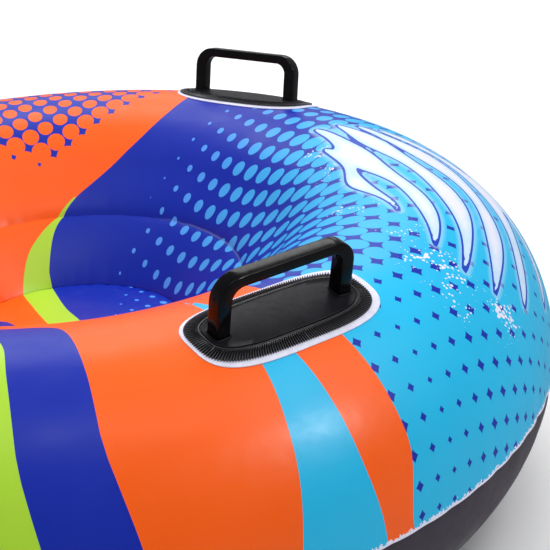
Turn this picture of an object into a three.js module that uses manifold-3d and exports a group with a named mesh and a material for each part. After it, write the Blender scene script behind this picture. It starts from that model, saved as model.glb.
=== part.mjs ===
// Inflatable towable tube: a round ring tube with a bowl seat in its middle, two moulded
// handles, a tow ring on the front and two screw-in valves at the back.
// Millimetres. +Z is up, +X points to the tow ring, Z = 0 is the ground.
import * as THREE from "three";
import { mergeVertices } from "three/addons/utils/BufferGeometryUtils.js";
import Module from "manifold-3d";

const wasm = await Module();
wasm.setup();

const DEG = Math.PI / 180;
const GAP = 0.3; // left between two pieces that touch
const SKIN = 1.2; // thickness of a vinyl panel

// Ring tube and bowl seat
const TUBE_R = 193; // radius of the tube's round section
const RING_R = 417; // radius of the circle the section runs on
const RING_SEGMENTS = 48;
const TUBE_STEP = 12; // degrees between two points of the tube's section
const BOWL_DEG = 135; // where the tube's section turns into the straight wall of the bowl
const BOWL_SEAM_R = 221; // seam between the printed top and the seat wall
const FLOOR_SEAM_R = 147; // seam between the seat wall and the seat floor
const FLOOR_CROWN = 12; // rise of the seat floor in its middle
const UNDERSIDE_DEG = 240; // where the underside of the seat meets the tube
const UNDERSIDE_CROWN = 12; // sag of the underside in its middle
const VENT_R = 28; // air holes through the baffles inside the seat
const VENTS = 6;

// Handles, one each side
const HANDLE_RING_DEG = 56; // from the front, round the ring
const FITTING_RING_DEG = 56.4; // the flange and the grip sit a little behind the backing's middle
const HANDLE_TUBE_DEG = 79.3; // up the tube from its outer seam
const BACKING_LENGTH = 223;
const BACKING_WIDTH = 108;
const FLANGE_INSET = 6.5; // the flange inside the backing's outline
const INSERT_INSET = 22; // the centre plate inside the backing's outline
const OVAL_POWER = 3.1; // 2 is an ellipse, more is squarer
const BACKING_THICK = 1;
const FLANGE_THICK = 2.6;
const INSERT_THICK = 3;
const POST_SPAN = 152; // between the middles of the grip's two posts
const POST_THICK = 16.5;
const GRIP_DEPTH = 18;
const GRIP_HEIGHT = 67;
const BAR_THICK = 12.5;
const GRIP_BEVEL = 2.4;
const POCKET_FLOOR = 1.7; // bottom of the posts' pockets above the tube

// Tow point
const TOW_PATCH_DEG = -27;
const TOW_PATCH_LENGTH = 120;
const TOW_PATCH_WIDTH = 84;
const TOW_PATCH_THICK = 2;
const STRAP_WIDTH = 40;
const STRAP_THICK = 2;
const STRAP_TOP_DEG = -14;
const STRAP_LOOP_DEG = -34;
const STRAP_LOOP_R = 6.4;
const STRAP_BORE_R = 3.6;
const TOW_WIRE = 6; // thickness of the tow ring's metal
const TOW_EYE_WIDTH = 46;
const TOW_EYE_HEIGHT = 34;

// Valves
const VALVE_RING_DEG = 180;
const RING_VALVE_TUBE_DEG = 35;
const SEAT_VALVE_R = 184;
const VALVE_FLANGE_R = 28;
const VALVE_FLANGE_THICK = 1.5;
const NECK_R = 18.5;
const NECK_BORE_R = 15;
const NECK_TOP = 4;
const NECK_BOTTOM = -14;
const STOPPER_BORE_R = 9;
const STOPPER_HEAD_R = 17.5;
const STOPPER_HEAD_THICK = 2.2;
const STOPPER_BOTTOM = -10;
const CAP_THICK = 2.5;
const CAP_PLUG_R = 7.9;
const CAP_PLUG_BOTTOM = 3.5;
const CAP_HINGE_REACH = 19.5; // hinge line of the cap, off the valve's axis
const FLAP_R = 10.5;
const FLAP_THICK = 1;

const PAINT = {
  print: { color: 0x2b5fd0, roughness: 0.35 },
  floor: { color: 0x2a2fa0, roughness: 0.35 },
  dark_vinyl: { color: 0x3a3640, roughness: 0.5 },
  inner_vinyl: { color: 0x8d929c, roughness: 0.6 },
  white_vinyl: { color: 0xe9e9f2, roughness: 0.4 },
  black_rubber: { color: 0x141416, roughness: 0.55 },
  black_plastic: { color: 0x0d0d0f, roughness: 0.2 },
  webbing: { color: 0x18181b, roughness: 0.9 },
  steel: { color: 0xb9bcc2, roughness: 0.25, metalness: 1 },
  clear_plastic: { color: 0xc9d2da, roughness: 0.3 },
};

const tube = new THREE.Group(); // its own zero height is the ring tube's middle

function addPiece(name, paint, geometry) {
  const mesh = new THREE.Mesh(geometry, new THREE.MeshStandardMaterial(PAINT[paint]));
  mesh.name = name;
  tube.add(mesh);
}

// ---- joining and cutting ----

function solidOf(geometry) {
  const bare = geometry.clone();
  bare.deleteAttribute("normal");
  bare.deleteAttribute("uv");
  const merged = mergeVertices(bare, 1e-4);
  return new wasm.Manifold(
    new wasm.Mesh({
      numProp: 3,
      vertProperties: new Float32Array(merged.attributes.position.array),
      triVerts: new Uint32Array(merged.index.array),
    }),
  );
}

function geometryOf(solid) {
  const mesh = solid.getMesh();
  const geometry = new THREE.BufferGeometry();
  geometry.setAttribute("position", new THREE.BufferAttribute(mesh.vertProperties, 3));
  geometry.setIndex(new THREE.BufferAttribute(mesh.triVerts, 1));
  return geometry;
}

function cut(geometry, tools) {
  return geometryOf(tools.reduce((solid, tool) => solid.subtract(solidOf(tool)), solidOf(geometry)));
}

function join(first, ...others) {
  return geometryOf(others.reduce((solid, other) => solid.add(solidOf(other)), solidOf(first)));
}

// ---- solids of revolution ----

// A closed profile of [radius, height] turned about the Y axis. Its points run
// anticlockwise seen with the radius to the right, which faces the solid outwards.
function lathe(profile, segments) {
  const points = profile.map(([r, h]) => new THREE.Vector2(Math.max(r, 0), h));
  return new THREE.LatheGeometry(points, segments);
}

// The closed outline of a washer-like solid between two radii and two heights.
function washer(innerR, outerR, low, high) {
  return [[innerR, low], [outerR, low], [outerR, high], [innerR, high], [innerR, low]];
}

// ---- vinyl panels ----

// A point of the ring tube's section, with the direction its outer face looks in.
function sectionPoint(tubeDeg, radius = TUBE_R) {
  const a = tubeDeg * DEG;
  return { r: RING_R + radius * Math.cos(a), z: radius * Math.sin(a), facing: a };
}

// Points along the section, on the whole steps and at both ends.
function sectionArc(fromDeg, toDeg, radius = TUBE_R) {
  const way = Math.sign(toDeg - fromDeg);
  const arc = [sectionPoint(fromDeg, radius)];
  let step = way > 0 ? Math.floor(fromDeg / TUBE_STEP) + 1 : Math.ceil(fromDeg / TUBE_STEP) - 1;
  while ((toDeg - step * TUBE_STEP) * way > 0.5) {
    arc.push(sectionPoint(step * TUBE_STEP, radius));
    step += way;
  }
  arc.push(sectionPoint(toDeg, radius));
  return arc;
}

// The bowl's straight wall leaves the tube's section along its tangent.
const BOWL_TOP = sectionPoint(BOWL_DEG);
function bowlPoint(r) {
  const drop = (BOWL_TOP.r - r) / Math.tan((BOWL_DEG - 90) * DEG);
  return { r, z: BOWL_TOP.z - drop, facing: BOWL_DEG * DEG };
}

// A shallow dome on the axis, from its rim to its middle.
function dome(rimR, rimZ, crown, facing) {
  const rings = [1, 2 / 3, 1 / 3, 0];
  return rings.map((f) => ({ r: rimR * f, z: rimZ + crown * (1 - f * f), facing }));
}

// A thin sheet of revolution whose outer face runs along the path.
function panel(path) {
  const inner = path.map(({ r, z, facing }) => [
    r - SKIN * Math.cos(facing),
    z - SKIN * Math.sin(facing),
  ]);
  const outer = path.map(({ r, z }) => [r, z]);
  const closesOnAxis = path.at(-1).r < GAP;
  const profile = closesOnAxis
    ? [...inner.reverse(), ...outer]
    : [...outer, ...inner.reverse(), outer[0]];
  const turned = lathe(facesOut(profile) ? profile : profile.reverse(), RING_SEGMENTS);
  return turned.rotateX(90 * DEG);
}

// True when a profile runs anticlockwise.
function facesOut(profile) {
  let area = 0;
  profile.forEach(([r, z], i) => {
    const [nextR, nextZ] = profile[(i + 1) % profile.length];
    area += r * nextZ - nextR * z;
  });
  return area > 0;
}

function topPanelGeometry(valve) {
  const seamGap = (GAP / 2 / TUBE_R) / DEG;
  const path = [
    ...sectionArc(seamGap, BOWL_DEG),
    bowlPoint((BOWL_TOP.r + BOWL_SEAM_R) / 2),
    bowlPoint(BOWL_SEAM_R + GAP / 2),
  ];
  return cut(panel(path), [valveHole(valve)]);
}

function bottomPanelGeometry() {
  const seamGap = (GAP / 2 / TUBE_R) / DEG;
  return panel(sectionArc(-seamGap, UNDERSIDE_DEG - 360));
}

function seatWallGeometry(valve) {
  const path = [bowlPoint(BOWL_SEAM_R - GAP / 2), bowlPoint(FLOOR_SEAM_R + GAP / 2)];
  return cut(panel(path), [valveHole(valve)]);
}

function seatFloorGeometry() {
  return panel(dome(FLOOR_SEAM_R - 2 * GAP, bowlPoint(FLOOR_SEAM_R).z, FLOOR_CROWN, 90 * DEG));
}

function undersideRim() {
  return sectionPoint(UNDERSIDE_DEG);
}

function undersideGeometry() {
  const rim = undersideRim();
  return panel(dome(rim.r - 2 * GAP, rim.z, -UNDERSIDE_CROWN, -90 * DEG));
}

// The wall between the ring's air and the seat's air. It laps inside the top and the bottom
// panels as far as a whole step of the section, where all the facets are parallel.
function chamberWallGeometry() {
  const top = Math.floor(BOWL_DEG / TUBE_STEP) * TUBE_STEP;
  const bottom = (Math.floor(UNDERSIDE_DEG / TUBE_STEP) + 1) * TUBE_STEP;
  return panel(sectionArc(top, bottom, TUBE_R - SKIN - GAP));
}

// An upright band under a seam of the seat, with air holes through it.
function baffleGeometry(seamR) {
  const rim = undersideRim();
  const overlap = SKIN * Math.SQRT2 + 2 * GAP;
  const top = bowlPoint(seamR - SKIN).z - overlap;
  const bottom = rim.z + SKIN + GAP;
  const band = lathe(washer(seamR - SKIN / 2, seamR + SKIN / 2, bottom, top), RING_SEGMENTS);
  const vents = [];
  for (let i = 0; i < VENTS; i += 1) {
    const vent = new THREE.CylinderGeometry(VENT_R, VENT_R, 20 * SKIN, 16);
    vent.rotateX(90 * DEG).translate(0, (top + bottom) / 2, seamR);
    vents.push(vent.rotateY(((i + 0.5) / VENTS) * 360 * DEG));
  }
  return cut(band, vents).rotateX(90 * DEG);
}

// ---- places on the skin ----

// A frame on the skin: X round the ring, Y straight out of the skin, Z down and outwards.
// wrap() bends a flat piece of that frame onto the skin.
function frameAt(ringDeg, { r, z, facing }, wrapPoint) {
  const a = ringDeg * DEG;
  const outward = new THREE.Vector3(Math.cos(a), Math.sin(a), 0);
  const round = new THREE.Vector3(-Math.sin(a), Math.cos(a), 0);
  const up = outward.clone().multiplyScalar(Math.cos(facing));
  up.z = Math.sin(facing);
  const across = new THREE.Vector3().crossVectors(round, up);
  const origin = outward.clone().multiplyScalar(r);
  origin.z = z;
  const matrix = new THREE.Matrix4().makeBasis(round, up, across).setPosition(origin);
  return { ringDeg, matrix, wrapPoint };
}

// On the ring tube: the nearest point of the skin, lifted by the height.
function tubeWrap(point, matrix) {
  const { x, y, z } = point;
  const flat = new THREE.Vector3(x, 0, TUBE_R * Math.tan(z / TUBE_R)).applyMatrix4(matrix);
  const centre = new THREE.Vector3(flat.x, flat.y, 0).setLength(RING_R);
  return flat.sub(centre).setLength(TUBE_R + y).add(centre);
}

// On the bowl's straight wall: round the ring by X and along the slope by Z.
function bowlWrap(point, matrix, ringDeg) {
  const place = new THREE.Vector3(0, point.y, point.z).applyMatrix4(matrix);
  const radius = Math.hypot(place.x, place.y);
  const a = ringDeg * DEG + point.x / radius;
  return new THREE.Vector3(radius * Math.cos(a), radius * Math.sin(a), place.z);
}

function onTube(ringDeg, tubeDeg) {
  return frameAt(ringDeg, sectionPoint(tubeDeg), tubeWrap);
}

function onBowl(ringDeg, r) {
  return frameAt(ringDeg, bowlPoint(r), bowlWrap);
}

function place(geometry, site) {
  return geometry.applyMatrix4(site.matrix);
}

function wrap(geometry, site) {
  const position = geometry.attributes.position;
  const point = new THREE.Vector3();
  for (let i = 0; i < position.count; i += 1) {
    point.fromBufferAttribute(position, i);
    const bent = site.wrapPoint(point, site.matrix, site.ringDeg);
    position.setXYZ(i, bent.x, bent.y, bent.z);
  }
  return geometry;
}

// ---- oval patches ----

// Pushes a round lathe of radius half the length into an oval. Loops outside the core keep
// their distance from the edge, and the loops inside it shrink in proportion.
function squashToOval(geometry, length, width, coreInset) {
  const position = geometry.attributes.position;
  const coreLength = length / 2 - coreInset;
  const coreWidth = width / 2 - coreInset;
  const power = 2 / OVAL_POWER;
  const squared = (c) => Math.sign(c) * Math.abs(c) ** power;
  for (let i = 0; i < position.count; i += 1) {
    const x = position.getX(i);
    const z = position.getZ(i);
    const half = Math.hypot(x, z);
    const halfWidth =
      half > coreLength ? half - (length - width) / 2 : (half * coreWidth) / coreLength;
    if (half > 0) position.setX(i, half * squared(x / half));
    if (half > 0) position.setZ(i, halfWidth * squared(z / half));
  }
  return geometry;
}

// A flat ring or disc of an oval patch: loops are the distances of its loops from the
// patch's outline, outermost first, and a last loop at the middle makes it a full disc.
function ovalSheet(length, width, coreInset, loops, low, high) {
  const radii = loops.map((inset) => length / 2 - inset);
  const below = radii.map((r) => [r, low]).reverse();
  const above = radii.map((r) => [r, high]);
  const profile = [...below, ...above];
  if (radii.at(-1) > 0) profile.push(profile[0]);
  return squashToOval(lathe(profile, 32), length, width, coreInset);
}

// ---- handles ----

const BACKING_TOP = GAP + BACKING_THICK;
const BASE_LOW = BACKING_TOP + GAP;

function backingGeometry(site) {
  const half = BACKING_LENGTH / 2;
  const core = half - INSERT_INSET;
  const loops = [0, FLANGE_INSET, INSERT_INSET, half - core / 2, half];
  const sheet = ovalSheet(BACKING_LENGTH, BACKING_WIDTH, INSERT_INSET, loops, GAP, BACKING_TOP);
  return wrap(sheet, site);
}

function flangeGeometry(site) {
  const loops = [FLANGE_INSET, INSERT_INSET];
  const high = BASE_LOW + FLANGE_THICK;
  const sheet = ovalSheet(BACKING_LENGTH, BACKING_WIDTH, INSERT_INSET, loops, BASE_LOW, high);
  return wrap(sheet, site);
}

function insertGeometry(site) {
  const half = BACKING_LENGTH / 2;
  const rim = INSERT_INSET + GAP;
  const loops = [rim, half - (half - rim) / 2, half];
  const high = BASE_LOW + INSERT_THICK;
  const sheet = ovalSheet(BACKING_LENGTH, BACKING_WIDTH, INSERT_INSET, loops, BASE_LOW, high);
  const pockets = [-1, 1].map((side) => {
    const pocket = new THREE.BoxGeometry(POST_THICK + 2 * GAP, 20, GRIP_DEPTH + 2 * GAP);
    pocket.translate((side * POST_SPAN) / 2, POCKET_FLOOR + 10, 0);
    return place(pocket, site);
  });
  return cut(wrap(sheet, site), pockets);
}

// The grip's side view: two posts under a straight bar with rounded corners.
function gripOutline() {
  const outer = (POST_SPAN + POST_THICK) / 2;
  const inner = (POST_SPAN - POST_THICK) / 2;
  const foot = POCKET_FLOOR + GAP;
  const outerCorner = 27;
  const innerCorner = 14;
  const barUnder = GRIP_HEIGHT - BAR_THICK;
  const shape = new THREE.Shape();
  shape.moveTo(-outer, foot);
  shape.lineTo(-inner, foot);
  shape.lineTo(-inner, barUnder - innerCorner);
  shape.absarc(-inner + innerCorner, barUnder - innerCorner, innerCorner, Math.PI, Math.PI / 2, true);
  shape.absarc(inner - innerCorner, barUnder - innerCorner, innerCorner, Math.PI / 2, 0, true);
  shape.lineTo(inner, foot);
  shape.lineTo(outer, foot);
  shape.lineTo(outer, GRIP_HEIGHT - outerCorner);
  shape.absarc(outer - outerCorner, GRIP_HEIGHT - outerCorner, outerCorner, 0, Math.PI / 2, false);
  shape.absarc(outerCorner - outer, GRIP_HEIGHT - outerCorner, outerCorner, Math.PI / 2, Math.PI, false);
  return shape;
}

// A flat outline given a thickness, centred on its plane, with its edges taken off.
function bevelled(shape, thickness, bevel, bevelSegments, curveSegments) {
  const depth = thickness - 2 * bevel;
  const solid = new THREE.ExtrudeGeometry(shape, {
    depth,
    bevelThickness: bevel,
    bevelSize: bevel,
    bevelOffset: -bevel,
    bevelSegments,
    curveSegments,
  });
  return solid.translate(0, 0, -depth / 2);
}

function addHandle(side, sign) {
  const patch = onTube(sign * HANDLE_RING_DEG, HANDLE_TUBE_DEG);
  const site = onTube(sign * FITTING_RING_DEG, HANDLE_TUBE_DEG);
  addPiece(`${side}_handle_backing`, "white_vinyl", backingGeometry(patch));
  addPiece(`${side}_handle_flange`, "black_rubber", flangeGeometry(site));
  addPiece(`${side}_handle_insert`, "black_rubber", insertGeometry(site));
  const grip = bevelled(gripOutline(), GRIP_DEPTH, GRIP_BEVEL, 2, 6);
  addPiece(`${side}_handle_grip`, "black_plastic", place(grip, site));
}

// ---- tow point ----

function towPatchGeometry() {
  const half = TOW_PATCH_LENGTH / 2;
  const core = TOW_PATCH_WIDTH / 3;
  const loops = [0, core / 2, core, half];
  const high = GAP + TOW_PATCH_THICK;
  const sheet = ovalSheet(TOW_PATCH_LENGTH, TOW_PATCH_WIDTH, core, loops, GAP, high);
  return wrap(sheet, onTube(0, TOW_PATCH_DEG));
}

const STRAP_LOW = TUBE_R + GAP + TOW_PATCH_THICK + 2 * GAP;
const STRAP_LOOP = sectionPoint(STRAP_LOOP_DEG, STRAP_LOW + STRAP_LOOP_R);

// A section of the strap, drawn across the ring and given the strap's width.
function strapPart(shape) {
  const part = new THREE.ExtrudeGeometry(shape, {
    depth: STRAP_WIDTH,
    bevelEnabled: false,
    curveSegments: 12,
  });
  return part.rotateX(90 * DEG).translate(0, STRAP_WIDTH / 2, 0);
}

function strapGeometry() {
  const tail = new THREE.Shape();
  const top = STRAP_TOP_DEG * DEG;
  const end = STRAP_LOOP_DEG * DEG;
  tail.absarc(RING_R, 0, STRAP_LOW, top, end, true);
  tail.absarc(RING_R, 0, STRAP_LOW + STRAP_THICK, end, top, false);
  const loop = new THREE.Shape();
  loop.absarc(STRAP_LOOP.r, STRAP_LOOP.z, STRAP_LOOP_R, 0, 2 * Math.PI, false);
  const bore = new THREE.Path();
  bore.absarc(STRAP_LOOP.r, STRAP_LOOP.z, STRAP_BORE_R, 0, 2 * Math.PI, true);
  loop.holes.push(bore);
  return join(strapPart(tail), strapPart(loop));
}

// A D outline hanging from the middle of its straight bar.
function hangingD(path, halfWidth, top, bottom) {
  path.moveTo(-halfWidth, top);
  path.lineTo(-halfWidth, bottom + halfWidth);
  path.absarc(0, bottom + halfWidth, halfWidth, Math.PI, 2 * Math.PI, false);
  path.lineTo(halfWidth, top);
  path.closePath();
  return path;
}

function towRingGeometry() {
  const half = TOW_EYE_WIDTH / 2;
  const barUnder = -TOW_WIRE / 2;
  const eyeBottom = barUnder - TOW_EYE_HEIGHT;
  const outline = hangingD(new THREE.Shape(), half + TOW_WIRE, -barUnder, eyeBottom - TOW_WIRE);
  outline.holes.push(hangingD(new THREE.Path(), half, barUnder, eyeBottom));
  const ring = bevelled(outline, TOW_WIRE, 1.8, 1, 6);
  const upright = new THREE.Matrix4().makeBasis(
    new THREE.Vector3(0, 1, 0),
    new THREE.Vector3(0, 0, 1),
    new THREE.Vector3(1, 0, 0),
  );
  return ring.applyMatrix4(upright).translate(STRAP_LOOP.r, 0, STRAP_LOOP.z);
}

// ---- valves ----

// The hole in the panel that a valve's neck goes through.
function valveHole(site) {
  const radius = NECK_R + 2 * GAP;
  return place(new THREE.CylinderGeometry(radius, radius, 30, 24), site);
}

function valveBaseGeometry(site) {
  const low = GAP;
  const high = GAP + VALVE_FLANGE_THICK;
  const innerR = (NECK_R + NECK_BORE_R) / 2;
  const flange = wrap(lathe(washer(innerR, VALVE_FLANGE_R, low, high), 24), site);
  const neck = place(lathe(washer(NECK_BORE_R, NECK_R, NECK_BOTTOM, NECK_TOP), 24), site);
  return join(neck, flange);
}

// The stopper screws into the neck. Its head carries a lug for the cap's hinge.
function stopperGeometry(site, hingeSide) {
  const shankR = NECK_BORE_R - GAP;
  const headLow = NECK_TOP + GAP;
  const headHigh = headLow + STOPPER_HEAD_THICK;
  const body = lathe(
    [
      [STOPPER_BORE_R, STOPPER_BOTTOM],
      [shankR, STOPPER_BOTTOM],
      [shankR, headLow],
      [STOPPER_HEAD_R, headLow],
      [STOPPER_HEAD_R, headHigh],
      [STOPPER_BORE_R, headHigh],
      [STOPPER_BORE_R, STOPPER_BOTTOM],
    ],
    24,
  );
  const lug = hingeLug(hingeSide, headLow, headHigh);
  return place(join(body, lug), site);
}

function hingeLug(hingeSide, low, high) {
  const inner = STOPPER_HEAD_R - 2;
  const lug = new THREE.BoxGeometry(10, high - low, CAP_HINGE_REACH - inner);
  return lug.translate(0, (low + high) / 2, (hingeSide * (CAP_HINGE_REACH + inner)) / 2);
}

function capGeometry(site, hingeSide) {
  const low = NECK_TOP + STOPPER_HEAD_THICK + 2 * GAP;
  const high = low + CAP_THICK;
  const body = lathe(
    [
      [0, CAP_PLUG_BOTTOM],
      [CAP_PLUG_R, CAP_PLUG_BOTTOM],
      [CAP_PLUG_R, low],
      [STOPPER_HEAD_R, low],
      [STOPPER_HEAD_R, high],
      [0, high],
    ],
    24,
  );
  return place(join(body, hingeLug(hingeSide, low, high)), site);
}

function flapGeometry(site) {
  const high = STOPPER_BOTTOM - GAP;
  return place(new THREE.CylinderGeometry(FLAP_R, FLAP_R, FLAP_THICK, 20)
    .translate(0, high - FLAP_THICK / 2, 0), site);
}

// hingeSide is +1 or -1: the cap's hinge is on the valve's uphill side.
function addValve(name, site, hingeSide) {
  addPiece(`${name}_base`, "clear_plastic", valveBaseGeometry(site));
  addPiece(`${name}_stopper`, "clear_plastic", stopperGeometry(site, hingeSide));
  addPiece(`${name}_cap`, "clear_plastic", capGeometry(site, hingeSide));
  addPiece(`${name}_flap`, "inner_vinyl", flapGeometry(site));
}

// ---- the whole tube ----

const ringValve = onTube(VALVE_RING_DEG, RING_VALVE_TUBE_DEG);
const seatValve = onBowl(VALVE_RING_DEG, SEAT_VALVE_R);

addPiece("top_panel", "print", topPanelGeometry(ringValve));
addPiece("bottom_panel", "dark_vinyl", bottomPanelGeometry());
addPiece("seat_wall_panel", "print", seatWallGeometry(seatValve));
addPiece("seat_floor_panel", "floor", seatFloorGeometry());
addPiece("seat_underside_panel", "dark_vinyl", undersideGeometry());
addPiece("chamber_wall", "inner_vinyl", chamberWallGeometry());
addPiece("outer_baffle", "inner_vinyl", baffleGeometry(BOWL_SEAM_R));
addPiece("inner_baffle", "inner_vinyl", baffleGeometry(FLOOR_SEAM_R));
addHandle("left", 1);
addHandle("right", -1);
addPiece("tow_patch", "dark_vinyl", towPatchGeometry());
addPiece("tow_strap", "webbing", strapGeometry());
addPiece("tow_ring", "steel", towRingGeometry());
addValve("ring_valve", ringValve, -1);
addValve("seat_valve", seatValve, 1);

// The tube stands on the flat between its two lowest section points.
tube.position.z = TUBE_R * Math.cos((TUBE_STEP / 2) * DEG);

export default tube;
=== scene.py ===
from math import cos, pi, radians, sin, tan

import bmesh
import bpy
import numpy as np
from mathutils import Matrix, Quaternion, Vector


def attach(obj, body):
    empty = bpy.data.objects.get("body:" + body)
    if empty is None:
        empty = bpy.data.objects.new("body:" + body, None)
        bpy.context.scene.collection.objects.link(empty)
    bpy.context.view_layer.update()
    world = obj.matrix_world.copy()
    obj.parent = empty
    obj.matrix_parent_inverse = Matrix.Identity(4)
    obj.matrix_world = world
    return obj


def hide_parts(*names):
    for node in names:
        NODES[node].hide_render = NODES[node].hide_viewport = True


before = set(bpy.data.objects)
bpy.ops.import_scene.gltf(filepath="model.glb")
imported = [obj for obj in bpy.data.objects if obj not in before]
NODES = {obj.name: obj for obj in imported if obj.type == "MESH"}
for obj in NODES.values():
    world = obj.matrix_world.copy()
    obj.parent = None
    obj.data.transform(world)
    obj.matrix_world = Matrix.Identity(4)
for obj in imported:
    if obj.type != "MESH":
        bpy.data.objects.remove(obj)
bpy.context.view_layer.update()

MM = 0.001

# The ring tube and the bowl seat, as in the CAD
TUBE_R = 193.0
RING_R = 417.0
RING_Z = TUBE_R * cos(radians(6))
BOWL_DEG = 135.0
BOWL_SEAM_R = 221.0
FLOOR_SEAM_R = 147.0
FLOOR_CROWN = 12.0
UNDERSIDE_DEG = 240.0
UNDERSIDE_CROWN = 12.0
SKIN = 1.1
SEAT_VALVE_R = 184.0
VALVE_RING_DEG, RING_VALVE_DEG = 180.0, 35.0
VALVE_HOLE_R, VALVE_HOLE_DEPTH = 18.8, 12.0

# Handles, as in the CAD
HANDLE_RING_DEG = 56.0
FITTING_RING_DEG = 56.4
HANDLE_TUBE_DEG = 79.3
BACKING_LENGTH, BACKING_WIDTH = 223.0, 108.0
OVAL_POWER = 3.1
INSERT_INSET = 22.0
POST_SPAN, POST_THICK = 152.0, 16.5
GRIP_DEPTH, GRIP_HEIGHT, BAR_THICK = 18.0, 67.0, 12.5
OUTER_CORNER, INNER_CORNER = 27.0, 14.0

AROUND = 400  # points round the ring in a skin


# ---------------------------------------------------------------- meshes

def add_piece(name, points, faces, material, body="tube", sharp_deg=40):
    """A closed mesh piece from points in millimetres, riding on a body."""
    mesh = bpy.data.meshes.new(name)
    mesh.from_pydata([tuple(p) for p in np.asarray(points) * MM], [], faces)
    work = bmesh.new()
    work.from_mesh(mesh)
    bmesh.ops.recalc_face_normals(work, faces=work.faces)
    work.to_mesh(mesh)
    work.free()
    mesh.polygons.foreach_set("use_smooth", [True] * len(mesh.polygons))
    mesh.set_sharp_from_angle(angle=radians(sharp_deg))
    mesh.materials.append(material)
    piece = bpy.data.objects.new(name, mesh)
    bpy.context.scene.collection.objects.link(piece)
    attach(piece, body)
    return piece


def loop_faces(rows, columns, start=0, ring=False):
    """Quads between rows of points that each close on themselves. A ring joins last row to first."""
    faces = []
    for i in range(rows if ring else rows - 1):
        low, high = start + i * columns, start + ((i + 1) % rows) * columns
        for j in range(columns):
            k = (j + 1) % columns
            faces.append((low + j, low + k, high + k, high + j))
    return faces


def capped(loops):
    """Points and faces of a closed body from rows of points, both ends closed by a fan."""
    rows, columns, _ = loops.shape
    points = np.concatenate([loops.reshape(-1, 3), [loops[0].mean(0)], [loops[-1].mean(0)]])
    faces = loop_faces(rows, columns)
    first, last, end = rows * columns, rows * columns + 1, (rows - 1) * columns
    for j in range(columns):
        k = (j + 1) % columns
        faces.append((first, k, j))
        faces.append((last, end + j, end + k))
    return points, faces


def ringed(loops):
    """Points and faces of a ring-shaped body, whose last row joins its first."""
    rows, columns, _ = loops.shape
    return loops.reshape(-1, 3), loop_faces(rows, columns, ring=True)


def joined(*parts):
    """Several bodies' points and faces as one mesh."""
    points, faces, count = [], [], 0
    for part_points, part_faces in parts:
        points.append(np.asarray(part_points))
        faces += [tuple(i + count for i in face) for face in part_faces]
        count += len(part_points)
    return np.concatenate(points), faces


# ---------------------------------------------------------------- skins

# A skin's path is rows of [radius, height, facing r, facing z]: a line of the ring's section
# with the direction that its outer face looks in.

def arc_path(from_deg, to_deg, count):
    """Along the tube's round section."""
    a = np.radians(np.linspace(from_deg, to_deg, count))
    return np.stack([RING_R + TUBE_R * np.cos(a), TUBE_R * np.sin(a), np.cos(a), np.sin(a)], 1)


def straight_path(from_r, to_r, count):
    """Along the bowl's wall, which leaves the tube along its tangent."""
    top = arc_path(BOWL_DEG, BOWL_DEG, 1)[0]
    r = np.linspace(from_r, to_r, count)
    slope = tan(radians(180 - BOWL_DEG))
    z = top[1] - (top[0] - r) * slope
    return np.stack([r, z, np.full(count, top[2]), np.full(count, top[3])], 1)


def dome_path(rim_r, rim_z, crown, up, count):
    """From a round rim almost to the axis over a shallow dome."""
    f = np.linspace(1, 0.004, count)
    z = rim_z + crown * (1 - f * f)
    return np.stack([rim_r * f, z, np.zeros(count), np.full(count, float(up))], 1)


def turned_skin(path, lift, closes):
    """Rows of points of a thin skin turned round the axis. lift(angles) is how far each outer
    point stands out of the path. A skin that closes ends on the axis."""
    angle = np.linspace(0, 2 * pi, AROUND, endpoint=False)
    out = lift(angle[None, :])
    rows = []
    for shift in (0, -SKIN):
        r = path[:, :1] + path[:, 2:3] * (out + shift)
        z = path[:, 1:2] + path[:, 3:4] * (out + shift)
        z = np.maximum(z + RING_Z, -shift)  # it rests on the ground
        rows.append(np.stack([r * np.cos(angle), r * np.sin(angle), z + 0 * angle], 2))
    outer, inner = rows
    if closes:
        return capped(np.concatenate([inner[::-1], outer]))
    return ringed(np.concatenate([outer, inner[::-1]]))


def along(path):
    """Distance of each row of a path from its first, as a column."""
    steps = np.hypot(np.diff(path[:, 0]), np.diff(path[:, 1]))
    return np.concatenate([[0], np.cumsum(steps)])[:, None]


# How many creases run out of each weld, and their seed. They go on at the weld's other side.
OUTER_WELD, BOWL_WELD, FLOOR_WELD, UNDERSIDE_WELD = (92, 11), (44, 12), (34, 14), (64, 16)


def puckers(angle, distance, weld, reach, depth):
    """Short creases that run out from a weld, deeper and longer in some places."""
    waves, seed = weld
    rng = np.random.default_rng(seed)
    drift = sum(rng.uniform(0.5, 1.3) * np.sin(n * angle + rng.uniform(0, 2 * pi)) for n in (3, 5, 9))
    strength = 0.62 + 0.38 * np.sin(7 * angle + 2 * np.sin(4 * angle + rng.uniform(0, 6)))
    crease = np.abs(np.sin(waves / 2 * angle + drift)) ** 0.55
    fade = np.exp(-distance / (reach * (0.5 + strength)))
    return depth * strength * (crease - 0.8) * fade


def tuck(distance, reach, depth):
    """The dip of a skin down into a weld."""
    return -depth * np.exp(-distance / reach)


def clear_of_valve(angle):
    """0 at the valve's place on the ring and 1 away from it, where a skin is free to bulge."""
    off = (angle - radians(VALVE_RING_DEG)) * SEAT_VALVE_R
    return 1 - np.exp(-((off / 52) ** 4))


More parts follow.
